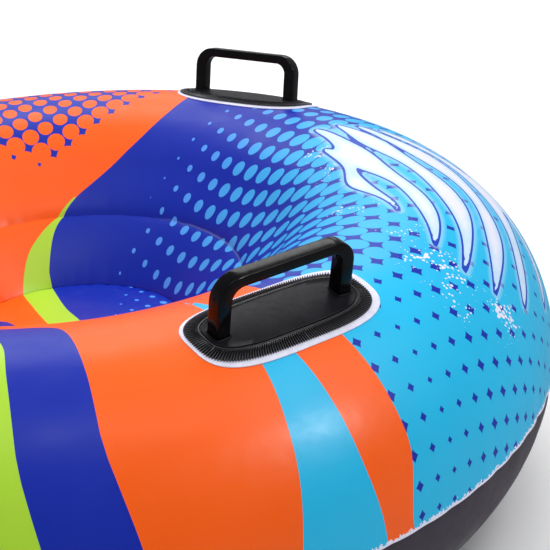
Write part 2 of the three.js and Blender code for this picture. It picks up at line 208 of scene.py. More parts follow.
def top_skin_mesh():
    tube = arc_path(-1.6, BOWL_DEG, 74)
    cone = straight_path(arc_path(BOWL_DEG, BOWL_DEG, 1)[0, 0], BOWL_SEAM_R, 16)[1:]
    path = np.concatenate([tube, cone])
    s = along(path)
    left = s[-1] - s
    u = np.clip(1 - left / 84, 0, 1)

    def lift(angle):
        bulge = 2.4 * 6.75 * u * u * (1 - u)  # 2.4 at its highest
        outer = puckers(angle, s, OUTER_WELD, 22, 2.6) + 1.0 * np.exp(-s / 4)
        inner = puckers(angle, left, BOWL_WELD, 15, 1.3) + tuck(left, 4, 1.2)
        return bulge + outer + inner

    return turned_skin(path, lift, False)


def seat_wall_mesh():
    path = straight_path(BOWL_SEAM_R, FLOOR_SEAM_R, 26)
    s = along(path)
    left = s[-1] - s

    def lift(angle):
        u = s / s[-1]
        bulge = 4 * 4.2 * u * (1 - u) * clear_of_valve(angle)  # 4.2 at its highest
        upper = puckers(angle, s, BOWL_WELD, 13, 1.3) + tuck(s, 4, 1.2)
        lower = puckers(angle, left, FLOOR_WELD, 13, 1.4) + tuck(left, 4, 1.0)
        return bulge + upper + lower

    return turned_skin(path, lift, False)


def seat_floor_mesh():
    rim_z = straight_path(FLOOR_SEAM_R, FLOOR_SEAM_R, 1)[0, 1]
    path = dome_path(FLOOR_SEAM_R, rim_z, FLOOR_CROWN, 1, 34)
    s = along(path)

    def lift(angle):
        return puckers(angle, s, FLOOR_WELD, 16, 1.5) + tuck(s, 4, 0.8)

    return turned_skin(path, lift, True)


def bottom_skin_mesh():
    path = arc_path(-0.1, UNDERSIDE_DEG - 360, 66)
    s = along(path)
    left = s[-1] - s

    def lift(angle):
        outer = puckers(angle, s, OUTER_WELD, 22, 2.6)
        return outer + puckers(angle, left, UNDERSIDE_WELD, 20, 2.4) - 0.5

    return turned_skin(path, lift, False)


def underside_mesh():
    rim = arc_path(UNDERSIDE_DEG, UNDERSIDE_DEG, 1)[0]
    path = dome_path(rim[0], rim[1], -UNDERSIDE_CROWN, -1, 44)
    s = along(path)

    def lift(angle):
        return puckers(angle, s, UNDERSIDE_WELD, 26, 2.4)

    return turned_skin(path, lift, True)


# ---------------------------------------------------------------- the artwork

# The print is flat artwork: a point of the skin lies on it in its own direction from the
# middle, at a distance that grows with the way along the skin.
ART_FLOOR, ART_WALL, ART_IN, ART_OUT = 1.177, 1.112, 0.80, 0.94
ART_SEAM = ART_FLOOR * FLOOR_SEAM_R
ART_CREST = 443.0

DOT_PITCH = 29.8
DOT_TURN = radians(36.5)
DOT_ORIGIN = (10.7, -54.4)
# Radius of the light dots in pitches, by the way forward of the middle and, on the right
# shoulder, by the depth in the zone. Dots of more than half a pitch run together.
DOT_GROWTH = [(36, -0.02), (62, 0.08), (125, 0.21), (225, 0.34), (275, 0.39), (325, 0.47), (400, 0.52),
              (470, 0.57), (600, 0.62)]
SHOULDER_DOTS = [(0, 0.565), (60, 0.625), (150, 0.56), (240, 0.57), (320, 0.61)]

# Outlines of the artwork's shapes. "round" lists give [distance, degrees round the ring].
ZONE = [(300, 800), (245, 600), (200, 452), (163, 386), (121, 347), (73, 318), (28, 293), (-10, 269),
        (-37, 236), (-48, 190), (-45, 166), (-19, 72), (4, 20), (58, -75), (120, -165), (190, -260),
        (254, -347), (330, -423), (397, -502), (490, -615), (900, -700), (1100, 0), (900, 800)]
LIME_SEAT = [(-2, 276), (-40, 248), (-65, 221), (-82, 192), (-90, 152), (-84, 125), (-48, 27),
             (-12, -40), (40, -110), (110, -190), (90, -110), (20, 60), (0, 160), (-10, 240)]
NIGHT_SEAT = [(-190, 95), (-115, 37), (-100, 26), (-78, -6), (-50, -60), (-10, -120), (60, -190),
              (0, -180), (-90, -110), (-160, -20)]
STRIPE_ROUND = [(398, -64.9), (430, -62.6), (480, -60.4), (529, -58.8), (584, -58.1), (640, -57.6),
                (800, -56.5), (800, -65.6), (619, -64.1), (528, -63.2), (450, -64.0)]
NIGHT_ROUND = [(800, -81.2), (560, -81.9), (478, -82.7), (424, -84.4), (404, -87.5), (400, -95),
               (408, -107), (440, -121), (520, -134), (640, -143), (800, -148), (840, -115)]
LIME_ROUND = [(800, -88.0), (573, -90.0), (489, -91.5), (440, -93.0), (424, -96.5), (432, -103),
              (470, -111), (560, -119), (800, -127), (840, -108)]
SKY_ROUND = [(800, 196), (600, 190), (470, 183), (390, 172), (340, 158), (300, 150), (352, 168),
             (400, 184), (470, 198), (600, 208), (800, 213), (840, 204)]
NIGHT_REAR = [(800, 176), (610, 168), (480, 158), (400, 147), (330, 132), (290, 126), (330, 144),
              (390, 162), (470, 174), (600, 184), (800, 190), (840, 183)]
EMBER_IN = [(-30, 309), (140, 426)]  # the line where the orange dots close up
EMBER_FULL, EMBER_SMALL, EMBER_GROWTH, EMBER_FADE = 0.8, 0.36, 0.35, 30
EMBER_SHIFT, EMBER_STRETCH, EMBER_FROM = 8, 0.15, 360  # their lattice against the light dots'
FAR = 99  # stands for a point that is nowhere near the outer seam

# The splash across the front: streams of [distance, degrees] from end to end, half width, bow
STREAMS = [(416, 30, 506, -26, 12, -24), (442, 29, 552, -28, 13, -14), (468, 27, 594, -27, 13, -6),
           (494, 24, 630, -23, 12, 2), (522, 20, 656, -16, 9, 6), (402, 20, 446, -18, 7, -16)]
SPRAYS = [(398, 20, 30), (388, 8, 26), (404, -15, 26), (462, -24, 32), (512, -30, 36), (560, -32, 36),
          (606, -29, 32)]


def art_place(points):
    """Where points of the skin lie on the artwork."""
    r = np.hypot(points[:, 0], points[:, 1])
    s = TUBE_R * (pi / 2 - np.arctan2(points[:, 2] - RING_Z, r - RING_R))
    tube = ART_CREST + s * np.where(s > 0, ART_OUT, ART_IN)
    wall = ART_SEAM + ART_WALL * (r - FLOOR_SEAM_R)
    top_r = RING_R + TUBE_R * cos(radians(BOWL_DEG))
    g = np.where(r < FLOOR_SEAM_R, ART_FLOOR * r, np.where(r < top_r, wall, tube))
    return points[:, :2] * (g / np.maximum(r, 1e-6))[:, None]


def from_round(outline):
    """Corners of the artwork from [distance, degrees round the ring]."""
    return [(g * cos(radians(a)), g * sin(radians(a))) for g, a in outline]


def smooth_outline(corners, steps=8):
    """A closed curve through the corners."""
    p = np.array(corners, float)
    before, after, later = np.roll(p, 1, 0), np.roll(p, -1, 0), np.roll(p, -2, 0)
    rows = []
    for t in np.arange(steps) / steps:
        rows.append(0.5 * (2 * p + (after - before) * t + (2 * before - 5 * p + 4 * after - later) * t**2
                           + (3 * p - before - 3 * after + later) * t**3))
    return np.stack(rows, 1).reshape(-1, 2)


def depth_inside(places, outline):
    """How far places lie inside a closed outline. It is negative outside."""
    nearest = np.full(len(places), 1e9)
    inside = np.zeros(len(places), bool)
    for a, b in zip(outline, np.roll(outline, -1, 0)):
        way, to = b - a, places - a
        t = np.clip((to @ way) / max(way @ way, 1e-9), 0, 1)
        nearest = np.minimum(nearest, np.hypot(*(to - t[:, None] * way).T))
        spans = (a[1] > places[:, 1]) != (b[1] > places[:, 1])
        rise = way[1] if abs(way[1]) > 1e-9 else 1e-9
        inside ^= spans & (places[:, 0] < a[0] + way[0] * (places[:, 1] - a[1]) / rise)
    return np.where(inside, nearest, -nearest)


def dot_size(points, zone_depth):
    """Radius of the light dots in pitches: they grow towards the front and merge there. On the
    right shoulder they are merged already, and their size goes with the depth in the zone."""
    x, y = points[:, 0], points[:, 1]
    forward = x - np.maximum(0, y - 160) - 0.5 * np.maximum(0, -y - 200)
    size = np.interp(forward, *zip(*DOT_GROWTH))
    shoulder = np.clip((-y - 225) / 90, 0, 1) * np.clip((x - 235) / 60, 0, 1)
    merged = np.interp(zone_depth, *zip(*SHOULDER_DOTS))
    return np.where(size < merged, size + (merged - size) * shoulder, size)


def ember_size(art):
    """Radius of the orange dots in pitches. They cover everything outside the area with the dots
    and shrink away from its three sides."""
    a, b = np.array(EMBER_IN, float)
    way = (b - a) / np.hypot(*(b - a))
    right = (art - a) @ np.array([-way[1], way[0]])
    lower = (art[:, 1] - 306) / 1.3
    rear = (radians(128) - np.arctan2(art[:, 1], art[:, 0])) * 400 / 2.3
    rear = np.where(art[:, 1] < 0, -1, rear)
    depth = np.minimum(np.minimum(right, lower), rear)
    return np.where(depth > 0, EMBER_SMALL + EMBER_GROWTH * np.exp(-depth / EMBER_FADE), EMBER_FULL)


def stream_depth(art):
    """How far places lie inside the long, wavering streams of the splash, negative outside."""
    depth = np.full(len(art), -60.0)
    near = np.flatnonzero(art[:, 0] > 250)
    t = np.linspace(0, 1, 260)
    for g0, a0, g1, a1, half, bow in STREAMS:
        g = g0 + (g1 - g0) * t + bow * np.sin(pi * t) + 6 * np.sin(8 * t + g0)
        a = np.radians(a0 + (a1 - a0) * t)
        width = half * np.sin(pi * t**0.8) ** 0.62 * (1 + 0.25 * np.sin(13 * t + g1))
        away = np.hypot(art[near, :1] - g * np.cos(a), art[near, 1:] - g * np.sin(a))
        depth[near] = np.maximum(depth[near], (width - away).max(1))
    return depth


def spray_density(art):
    """Where the water spray of the splash is thick, from 0 to 1."""
    thick = np.zeros(len(art))
    for g, a, spread in SPRAYS:
        centre = g * np.array([cos(radians(a)), sin(radians(a))])
        thick = np.maximum(thick, np.exp(-((art - centre) ** 2).sum(1) / spread**2))
    return thick


def artwork_shapes():
    """The outline of each printed shape, under the name that the material knows it by."""
    return {
        "zone": smooth_outline(ZONE),
        "lime_seat": smooth_outline(LIME_SEAT),
        "night_seat": smooth_outline(NIGHT_SEAT),
        "stripe": smooth_outline(from_round(STRIPE_ROUND)),
        "night": smooth_outline(from_round(NIGHT_ROUND)),
        "lime": smooth_outline(from_round(LIME_ROUND)),
        "sky": smooth_outline(from_round(SKY_ROUND)),
        "night_rear": smooth_outline(from_round(NIGHT_REAR)),
    }


def lattice_places(art, zone_depth):
    """Where points of the artwork lie on the dots' lattice. It is a little wider in the orange."""
    g = np.hypot(*art.T)
    in_ember = (zone_depth < 0) & (art[:, 1] > 0)
    dotted_g = np.where(in_ember, g + EMBER_SHIFT + EMBER_STRETCH * (g - EMBER_FROM), g)
    off = art * (dotted_g / np.maximum(g, 1e-6))[:, None] - np.array(DOT_ORIGIN)
    return np.stack([off @ np.array([cos(DOT_TURN), sin(DOT_TURN)]),
                     off @ np.array([-sin(DOT_TURN), cos(DOT_TURN)])], 1) / DOT_PITCH


def write_numbers(piece, name, values):
    attribute = piece.data.attributes.new(name, "FLOAT", "POINT")
    attribute.data.foreach_set("value", values.astype(np.float32))


def write_places(piece, name, places):
    attribute = piece.data.attributes.new(name, "FLOAT_VECTOR", "POINT")
    flat = np.concatenate([places, np.zeros((len(places), 1))], 1).astype(np.float32)
    attribute.data.foreach_set("vector", flat.ravel())


def lay_artwork(piece):
    """Writes on each point of a skin where it lies on the artwork, and in which shapes."""
    points = np.array([v.co for v in piece.data.vertices], float).reshape(-1, 3) / MM
    r = np.hypot(points[:, 0], points[:, 1])
    art = art_place(points)
    numbers = {name: depth_inside(art, outline) for name, outline in artwork_shapes().items()}
    numbers["dots"] = dot_size(points, numbers["zone"])
    numbers["ember"] = ember_size(art)
    numbers["stream"] = stream_depth(art)
    numbers["spray"] = spray_density(art)
    numbers["weld"] = r - BOWL_SEAM_R
    numbers["edge"] = np.where(r > RING_R, points[:, 2] - RING_Z, FAR)
    for name, values in numbers.items():
        write_numbers(piece, name, values)
    write_places(piece, "lattice", lattice_places(art, numbers["zone"]))


# ---------------------------------------------------------------- materials

def linear(red, green, blue):
    """A screen colour from 0 to 255 as the shader's colour."""
    parts = [c / 255 for c in (red, green, blue)]
    return [c / 12.92 if c <= 0.04045 else ((c + 0.055) / 1.055) ** 2.4 for c in parts] + [1.0]


ORANGE = linear(255, 96, 9)
NIGHT = linear(9, 39, 165)
SKY = linear(28, 184, 231)
DUSK_SKY = linear(78, 150, 240)
LIME = linear(173, 218, 55)
WHITE = linear(228, 228, 245)
PALE_BLUE = linear(180, 218, 246)
OUTLINE = linear(22, 62, 182)
# Pale grey of the painted highlight on the rubber's sharp edges and rib crests
CREST_HIGHLIGHT = linear(120, 120, 128)


class Shader:
    """A new material with its node tree and short calls that add nodes to it."""

    def __init__(self, name):
        self.material = bpy.data.materials.new(name)
        self.material.use_nodes = True
        self.tree = self.material.node_tree
        self.surface = self.tree.nodes["Principled BSDF"]
        self.place = self.node("ShaderNodeTexCoord").outputs["Object"]

    def node(self, kind, **values):
        node = self.tree.nodes.new(kind)
        for key, value in values.items():
            setattr(node, key, value)
        return node

    def feed(self, socket, value):
        if isinstance(value, bpy.types.NodeSocket):
            self.tree.links.new(value, socket)
        else:
            socket.default_value = value

    def math(self, operation, *values):
        node = self.node("ShaderNodeMath", operation=operation)
        for socket, value in zip(node.inputs, values):
            self.feed(socket, value)
        return node.outputs[0]

    def vector(self, operation, *values):
        node = self.node("ShaderNodeVectorMath", operation=operation)
        for socket, value in zip(node.inputs, values):
            self.feed(socket, value)
        return node.outputs["Value" if operation in ("LENGTH", "DOT_PRODUCT") else "Vector"]

    def mix(self, share, first, second):
        node = self.node("ShaderNodeMix", data_type="RGBA")
        self.feed(node.inputs["Factor"], share)
        self.feed(node.inputs[6], first)
        self.feed(node.inputs[7], second)
        return node.outputs[2]

    def attribute(self, name, output="Fac"):
        return self.node("ShaderNodeAttribute", attribute_name=name).outputs[output]

    def noise(self, scale, detail=3.0, roughness=0.5):
        node = self.node("ShaderNodeTexNoise")
        self.feed(node.inputs["Vector"], self.place)
        node.inputs["Scale"].default_value = scale
        node.inputs["Detail"].default_value = detail
        node.inputs["Roughness"].default_value = roughness
        return node.outputs["Fac"]

    def ramp(self, value, low, high, from_low=0.0, from_high=1.0):
        node = self.node("ShaderNodeMapRange")
        for socket, number in zip(node.inputs, (value, from_low, from_high, low, high)):
            self.feed(socket, number)
        return node.outputs[0]

    def bump(self, height, distance, normal=None):
        node = self.node("ShaderNodeBump")
        node.inputs["Distance"].default_value = distance
        self.feed(node.inputs["Height"], height)
        if normal is not None:
            self.feed(node.inputs["Normal"], normal)
        return node.outputs["Normal"]

    def finish(self, colour, roughness, normal=None, **plain):
        self.feed(self.surface.inputs["Base Color"], colour)
        self.feed(self.surface.inputs["Roughness"], roughness)
        if normal is not None:
            self.feed(self.surface.inputs["Normal"], normal)
        for key, value in plain.items():
            self.surface.inputs[key.replace("_", " ")].default_value = value
        return self.material


def vinyl_finish(shader, colour, gloss=0.36):
    """Calendered vinyl: fine grain, faint waves, and handling marks in its gloss."""
    shade = shader.ramp(shader.noise(5, 2), 0.95, 1.04, 0.3, 0.7)
    shaded = shader.vector("SCALE", colour)
    shader.feed(shaded.node.inputs["Scale"], shade)
    marks = shader.noise(26, 4, 0.65)
    roughness = shader.ramp(marks, gloss - 0.04, gloss + 0.08, 0.35, 0.7)
    grain = shader.bump(shader.noise(420, 2), 0.00005)
    waves = shader.bump(shader.noise(30, 2), 0.0005, normal=grain)
    return shader.finish(shaded, roughness, waves, Specular_IOR_Level=0.24)


def printed_vinyl():
    """The printed skin: flat shapes, and dots that grow until they merge."""
    shader = Shader("printed vinyl")
    cell = shader.vector("FRACTION", shader.vector("ADD", shader.attribute("lattice", "Vector"),
                                                   (0.5, 0.5, 0)))
    off = shader.vector("SUBTRACT", cell, (0.5, 0.5, 0))
    flat_off = shader.vector("MULTIPLY", off, (1, 1, 0))
    away = shader.vector("LENGTH", flat_off)
    dots = shader.attribute("dots")
    light = shader.math("LESS_THAN", away, dots)
    sky = shader.mix(shader.ramp(dots, 0, 1, 0.2, 0.56), DUSK_SKY, SKY)
    zone = shader.mix(light, NIGHT, sky)
    colour = shader.mix(shader.math("LESS_THAN", away, shader.attribute("ember")), NIGHT, ORANGE)
    layers = (("night_rear", NIGHT), ("sky", SKY), ("night_seat", NIGHT), ("lime_seat", LIME),
              ("night", NIGHT), ("lime", LIME), ("stripe", SKY), ("zone", zone))
    for name, paint in layers:
        colour = shader.mix(shader.math("GREATER_THAN", shader.attribute(name), 0.0), colour, paint)
    return vinyl_finish(shader, add_seam_highlight_and_flecks(shader, add_splash(shader, colour)))


def add_splash(shader, colour):
    """Streams of water with dark outlines and a pale glow, and specks of spray round them."""
    specks = shader.node("ShaderNodeTexVoronoi")
    shader.feed(specks.inputs["Vector"], shader.place)
    specks.inputs["Scale"].default_value = 190
    patches = shader.ramp(shader.noise(30), 0.0, 0.6, 0.35, 0.6)
    cover = shader.math("MULTIPLY", shader.attribute("spray"), patches)
    drops = shader.math("LESS_THAN", specks.outputs["Distance"], cover)
    colour = shader.mix(drops, colour, WHITE)
    stream = shader.attribute("stream")
    glow = shader.ramp(stream, 0.0, 0.5, -9.0, -3.0)
    colour = shader.mix(glow, colour, PALE_BLUE)
    colour = shader.mix(shader.math("GREATER_THAN", stream, -2.6), colour, OUTLINE)
    ripple = shader.math("ADD", stream, shader.ramp(shader.noise(24), -6, 6))
    water = shader.mix(shader.ramp(ripple, 0.85, 0.0, 1.0, 8.0), WHITE, PALE_BLUE)
    return shader.mix(shader.math("GREATER_THAN", stream, 0.0), colour, water)


def add_seam_highlight_and_flecks(shader, colour):
    """The weld's pale line along the bowl's seam, a painted highlight drawn only on the seam's front part,
    and the flecks where the print ends at the outer seam.
    """
    front = shader.ramp(shader.attribute("dots"), 0.0, 0.3, 0.1, 0.45)
    off_seam = shader.math("ABSOLUTE", shader.math("SUBTRACT", shader.attribute("weld"), 1.2))
    # Painted highlight: a pale line on the bowl's weld, only where the dots' size marks the front
    line = shader.math("MULTIPLY", shader.math("LESS_THAN", off_seam, 0.7), front)
    colour = shader.mix(line, colour, PALE_BLUE)
    frayed = shader.ramp(shader.noise(260), -3, 3, 0.45, 0.75)
    worn = shader.math("LESS_THAN", shader.attribute("edge"), frayed)
    return shader.mix(worn, colour, WHITE)


def plain_vinyl(name, colour, gloss=0.34):
    shader = Shader(name)
    spots = shader.ramp(shader.noise(90, 4, 0.6), 0.0, 1.0, 0.35, 0.65)
    dull = [c * 0.86 for c in colour[:3]] + [1.0]
    return vinyl_finish(shader, shader.mix(spots, dull, colour), gloss)


def moulded(name, colour, gloss, grain, depth, shine=0.3, crest_highlight_share=0.0):
    """Moulded rubber or plastic: fine grain, flow marks and gloss that varies with handling. Its sharp
    edges and rib crests are paler by a share: a painted highlight."""
    shader = Shader(name)
    worn = shader.ramp(shader.noise(60, 5, 0.7), 0.0, 1.0, 0.4, 0.72)
    pale = [min(1, c * 1.5 + 0.003) for c in colour[:3]] + [1.0]
    roughness = shader.ramp(shader.noise(150, 4, 0.6), gloss - 0.05, gloss + 0.08, 0.3, 0.7)
    normal = shader.bump(shader.noise(grain, 2), depth)
    sharpness = shader.node("ShaderNodeNewGeometry").outputs["Pointiness"]
    # Painted highlight: sharp edges and rib crests, found by their pointiness, mix towards a pale grey
    painted_crest_highlight = shader.ramp(sharpness, 0.0, crest_highlight_share, 0.53, 0.60)
    plain = shader.mix(worn, colour, pale)
    return shader.finish(shader.mix(painted_crest_highlight, plain, CREST_HIGHLIGHT), roughness, normal, Specular_IOR_Level=shine)


def webbing():
    """Woven strap: diagonal ribs of yarn across its width."""
    shader = Shader("webbing")
    yarns = []
    for turn in (0.6, -0.6):
        mapping = shader.node("ShaderNodeMapping")
        shader.feed(mapping.inputs["Vector"], shader.place)
        mapping.inputs["Rotation"].default_value = (turn, 0, 0)
        wave = shader.node("ShaderNodeTexWave", wave_type="BANDS", bands_direction="Y")
        shader.feed(wave.inputs["Vector"], mapping.outputs[0])
        wave.inputs["Scale"].default_value = 180
        wave.inputs["Distortion"].default_value = 0.6
        yarns.append(wave.outputs["Fac"])
    weave = shader.math("MULTIPLY", yarns[0], yarns[1])
    colour = shader.mix(weave, linear(12, 12, 14), linear(44, 44, 50))
    roughness = shader.ramp(shader.noise(300), 0.75, 0.95, 0.3, 0.7)
    return shader.finish(colour, roughness, shader.bump(weave, 0.0004), Sheen_Weight=0.3)


def steel():
    shader = Shader("stainless steel")
    scratches = shader.noise(700, 5, 0.8)
    colour = shader.mix(shader.noise(40), linear(170, 172, 178), linear(205, 206, 210))
    roughness = shader.ramp(scratches, 0.16, 0.34, 0.3, 0.7)
    return shader.finish(colour, roughness, shader.bump(scratches, 0.00002), Metallic=1.0)


def clear_plastic():
    """Milky valve plastic."""
    shader = Shader("clear plastic")
    cloud = shader.noise(80, 3)
    colour = shader.mix(cloud, linear(205, 214, 222), linear(228, 234, 240))
    roughness = shader.ramp(shader.noise(220, 3), 0.2, 0.32, 0.3, 0.7)
    return shader.finish(colour, roughness, shader.bump(shader.noise(900), 0.00003),
                         Transmission_Weight=0.25)


PRINT = printed_vinyl()
DARK_VINYL = plain_vinyl("dark vinyl", linear(64, 56, 68), 0.42)
INNER_VINYL = plain_vinyl("inner vinyl", linear(140, 146, 158), 0.45)
WHITE_VINYL = plain_vinyl("white vinyl", WHITE, 0.40)
RUBBER = moulded("black rubber", linear(11, 11, 13), 0.30, 420, 0.00004, 0.26, 0.8)
PLATE = moulded("satin black plastic", linear(15, 14, 20), 0.42, 380, 0.00003, 0.12)
GLOSS = moulded("gloss black plastic", linear(6, 6, 8), 0.14, 300, 0.000005, 0.14)
WEBBING = webbing()
STEEL = steel()
CLEAR = clear_plastic()
SILICONE = plain_vinyl("silicone", linear(150, 156, 164), 0.5)
THREAD = plain_vinyl("thread", linear(150, 150, 156), 0.6)


# ---------------------------------------------------------------- places on the skin

class Site:
    """A place on the skin: x round the ring, y out of the skin, z down and outwards. It is on
    the ring tube, or on the bowl's wall when r and z say where."""

    def __init__(self, ring_deg, facing_deg, r=None, z=None):
        ring, facing = radians(ring_deg), radians(facing_deg)
        self.ring, self.on_bowl = ring, r is not None
        outward = np.array([cos(ring), sin(ring), 0.0])
        self.round = np.array([-sin(ring), cos(ring), 0.0])
        self.up = outward * cos(facing) + np.array([0, 0, sin(facing)])
        self.across = np.cross(self.round, self.up)
        reach = RING_R + TUBE_R * cos(facing) if r is None else r
        height = TUBE_R * sin(facing) if z is None else z
        self.origin = outward * reach + np.array([0, 0, RING_Z + height])

    def rigid(self, local):
        """Where points given in the site's own directions are on the object."""
        local = np.asarray(local, float)
        return (self.origin + local[..., :1] * self.round + local[..., 1:2] * self.up
                + local[..., 2:3] * self.across)

    def wrapped(self, local):
        """The same for a flat piece that bends onto the skin."""
        local = np.asarray(local, float)
        if self.on_bowl:
            place = self.rigid(local * [0, 1, 1])
            r = np.hypot(place[..., :1], place[..., 1:2])
            angle = self.ring + local[..., :1] / r
            return np.concatenate([r * np.cos(angle), r * np.sin(angle), place[..., 2:]], -1)
        flat = local.copy()
        flat[..., 1] = 0
        flat[..., 2] = TUBE_R * np.tan(local[..., 2] / TUBE_R)
        flat = self.rigid(flat)
        level = flat * [1, 1, 0]
        centre = level / np.linalg.norm(level, axis=-1, keepdims=True) * RING_R + [0, 0, RING_Z]
        out = flat - centre
        out /= np.linalg.norm(out, axis=-1, keepdims=True)
        return centre + out * (TUBE_R + local[..., 1:2])


# ---------------------------------------------------------------- skins in place

def cut_hole(piece, site):
    """Opens a skin where a valve's neck goes through it."""
    turn = np.linspace(0, 2 * pi, 64, endpoint=False)
    x, z = VALVE_HOLE_R * np.cos(turn), VALVE_HOLE_R * np.sin(turn)
    rims = [np.stack([x, y + 0 * turn, z], 1) for y in (-VALVE_HOLE_DEPTH, VALVE_HOLE_DEPTH)]
    cutter = add_piece("cutter", *capped(site.rigid(np.array(rims))), INNER_VINYL)
    modifier = piece.modifiers.new("hole", "BOOLEAN")
    modifier.operation = "DIFFERENCE"
    modifier.solver = "EXACT"
    modifier.object = cutter
    bpy.context.view_layer.update()
    cut_piece = piece.evaluated_get(bpy.context.evaluated_depsgraph_get())
    opened = bpy.data.meshes.new_from_object(cut_piece)
    piece.modifiers.clear()
    piece.data = opened
    bpy.data.objects.remove(cutter)


def add_skin(name, mesh, material, node, valve_site=None):
    """A padded skin in place of a CAD panel, with a valve's hole and the artwork if it has them."""
    piece = add_piece(name, *mesh, material, sharp_deg=60)
    if valve_site is not None:
        cut_hole(piece, valve_site)
    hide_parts(node)
    if material is PRINT:
        lay_artwork(piece)


seat_valve_z = straight_path(SEAT_VALVE_R, SEAT_VALVE_R, 1)[0, 1]
ring_valve_site = Site(VALVE_RING_DEG, RING_VALVE_DEG)
seat_valve_site = Site(VALVE_RING_DEG, BOWL_DEG, SEAT_VALVE_R, seat_valve_z)

add_skin("top_skin", top_skin_mesh(), PRINT, "top_panel", ring_valve_site)
add_skin("seat_wall_skin", seat_wall_mesh(), PRINT, "seat_wall_panel", seat_valve_site)
add_skin("seat_floor_skin", seat_floor_mesh(), PRINT, "seat_floor_panel")
add_skin("bottom_skin", bottom_skin_mesh(), DARK_VINYL, "bottom_panel")
add_skin("underside_skin", underside_mesh(), DARK_VINYL, "seat_underside_panel")


# ---------------------------------------------------------------- ovals

def oval_loop(length, width, inset, angle):
    """Points of a squarish oval at a distance inside its outline, which may vary by point."""
    power = 2 / OVAL_POWER
    c, s = np.cos(angle), np.sin(angle)
    half = length / 2 - inset
    x = half * np.sign(c) * np.abs(c) ** power
    z = (half - (length - width) / 2) * np.sign(s) * np.abs(s) ** power
    return x, z


def even_angles(length, width, inset, count):
    """Angles at which an oval's points are evenly spaced along it."""
    dense = np.linspace(0, 2 * pi, 8001)
    x, z = oval_loop(length, width, inset, dense)
    way = np.concatenate([[0], np.cumsum(np.hypot(np.diff(x), np.diff(z)))])
    return np.interp(np.linspace(0, way[-1], count, endpoint=False), way, dense)


# ---------------------------------------------------------------- handles

BACKING_LOW, BACKING_TOP = 0.05, 1.3
BASE_LOW = 1.45
RIB_TOP, GROOVE_TOP = 4.2, 1.9
PLATE_TOP = 4.5
RIBS = 180


def backing_mesh(site):
    angle = even_angles(BACKING_LENGTH, BACKING_WIDTH, 0, 240)
    rows = [(55, BACKING_LOW), (30, BACKING_LOW), (0.4, BACKING_LOW), (0, 0.5), (0.3, 1.1),
            (1.2, BACKING_TOP), (4.5, BACKING_TOP), (5.2, BACKING_TOP - 0.2), (6, BACKING_TOP),
            (30, BACKING_TOP), (55, BACKING_TOP)]
    return shrinking(site, rows, angle)


def shrinking(site, rows, angle, length=BACKING_LENGTH, width=BACKING_WIDTH, core_inset=INSERT_INSET):
    """A full oval patch of rows of [inset, height], whose rows inside its core shrink to its middle."""
    loops = []
    core = length / 2 - core_inset
    for inset, height in rows:
        x, z = oval_loop(length, width, min(inset, core_inset), angle)
        share = 1 if inset <= core_inset else (length / 2 - inset) / core
        loops.append(np.stack([x * share, height + 0 * x, z * share], 1))
    return capped(site.wrapped(np.array(loops)))


def flange_mesh(site):
    """The rubber flange: a band of radial ribs with a toothed edge, and a bead inside it."""
    per_rib = 8
    angle = even_angles(BACKING_LENGTH, BACKING_WIDTH, 13, RIBS * per_rib)
    wave = np.cos(2 * pi * np.arange(RIBS * per_rib) / per_rib)
    ridge = np.maximum(0, 0.25 + 0.75 * wave) ** 0.6
    rows = [(20.5, BASE_LOW, 0), (8.6, BASE_LOW, 2.0), (8.3, 1.9, 2.0), (8.5, RIB_TOP - 0.6, 2.0),
            (9.2, RIB_TOP - 0.1, 1.6), (12, RIB_TOP, 0), (16.2, RIB_TOP + 0.1, 0), (18.9, RIB_TOP, 0)]
    loops = []
    for inset, height, tooth in rows:
        x, z = oval_loop(BACKING_LENGTH, BACKING_WIDTH, inset - tooth * ridge, angle)
        dips = height > RIB_TOP - 1 and inset < 18
        y = height - (RIB_TOP - GROOVE_TOP) * (1 - ridge) * dips
        loops.append(np.stack([x, y + 0 * x, z], 1))
    for inset, height in ((19.2, 4.4), (19.7, 4.95), (20.5, 4.95), (21.0, 4.4), (21.2, 3.9), (21.8, 3.7),
                          (21.8, BASE_LOW)):
        x, z = oval_loop(BACKING_LENGTH, BACKING_WIDTH, inset, angle)
        loops.append(np.stack([x, height + 0 * x, z], 1))
    return ringed(site.wrapped(np.array(loops)))


def plate_mesh(site):
    """The centre plate: a rolled edge round a flat face."""
    angle = even_angles(BACKING_LENGTH, BACKING_WIDTH, INSERT_INSET, 240)
    rows = [(60, BASE_LOW), (22.3, BASE_LOW), (22.1, 3.6), (22.5, 4.3), (23.3, PLATE_TOP + 0.25),
            (24.4, PLATE_TOP + 0.3), (25.4, PLATE_TOP), (26.5, PLATE_TOP - 0.35), (40, PLATE_TOP - 0.3),
            (62, PLATE_TOP - 0.3), (85, PLATE_TOP - 0.3)]
    return shrinking(site, rows, angle)


def box_loop(half_a, half_b, corner, steps=5):
    """Points round a rectangle with rounded corners."""
    points = []
    for k, (sa, sb) in enumerate(((1, 1), (-1, 1), (-1, -1), (1, -1))):
        middle_a, middle_b = sa * (half_a - corner), sb * (half_b - corner)
        for t in np.linspace(0, pi / 2, steps):
            a = t + k * pi / 2
            points.append((middle_a + corner * cos(a), middle_b + corner * sin(a)))
    return np.array(points)


def corner_point(x, y, radius, angle):
    """A point on the rounding of a corner at x, y."""
    return x - radius + radius * cos(angle), y - radius + radius * sin(angle)


def grip_stations():
    """Pairs of an inner and an outer point along the grip, from one foot to the other."""
    outer, inner, foot = (POST_SPAN + POST_THICK) / 2, (POST_SPAN - POST_THICK) / 2, 2.0
    under = GRIP_HEIGHT - BAR_THICK
    half = [((inner, y), (outer, y)) for y in np.linspace(foot, 30, 8)]
    for a in np.linspace(0, pi / 2, 12):
        half.append((corner_point(inner, under, INNER_CORNER, a),
                     corner_point(outer, GRIP_HEIGHT, OUTER_CORNER, a)))
    half += [((x, under), (x, GRIP_HEIGHT)) for x in np.linspace(52, 4, 8)]
    other = [tuple((-x, y) for x, y in pair) for pair in reversed(half)]
    return half + other


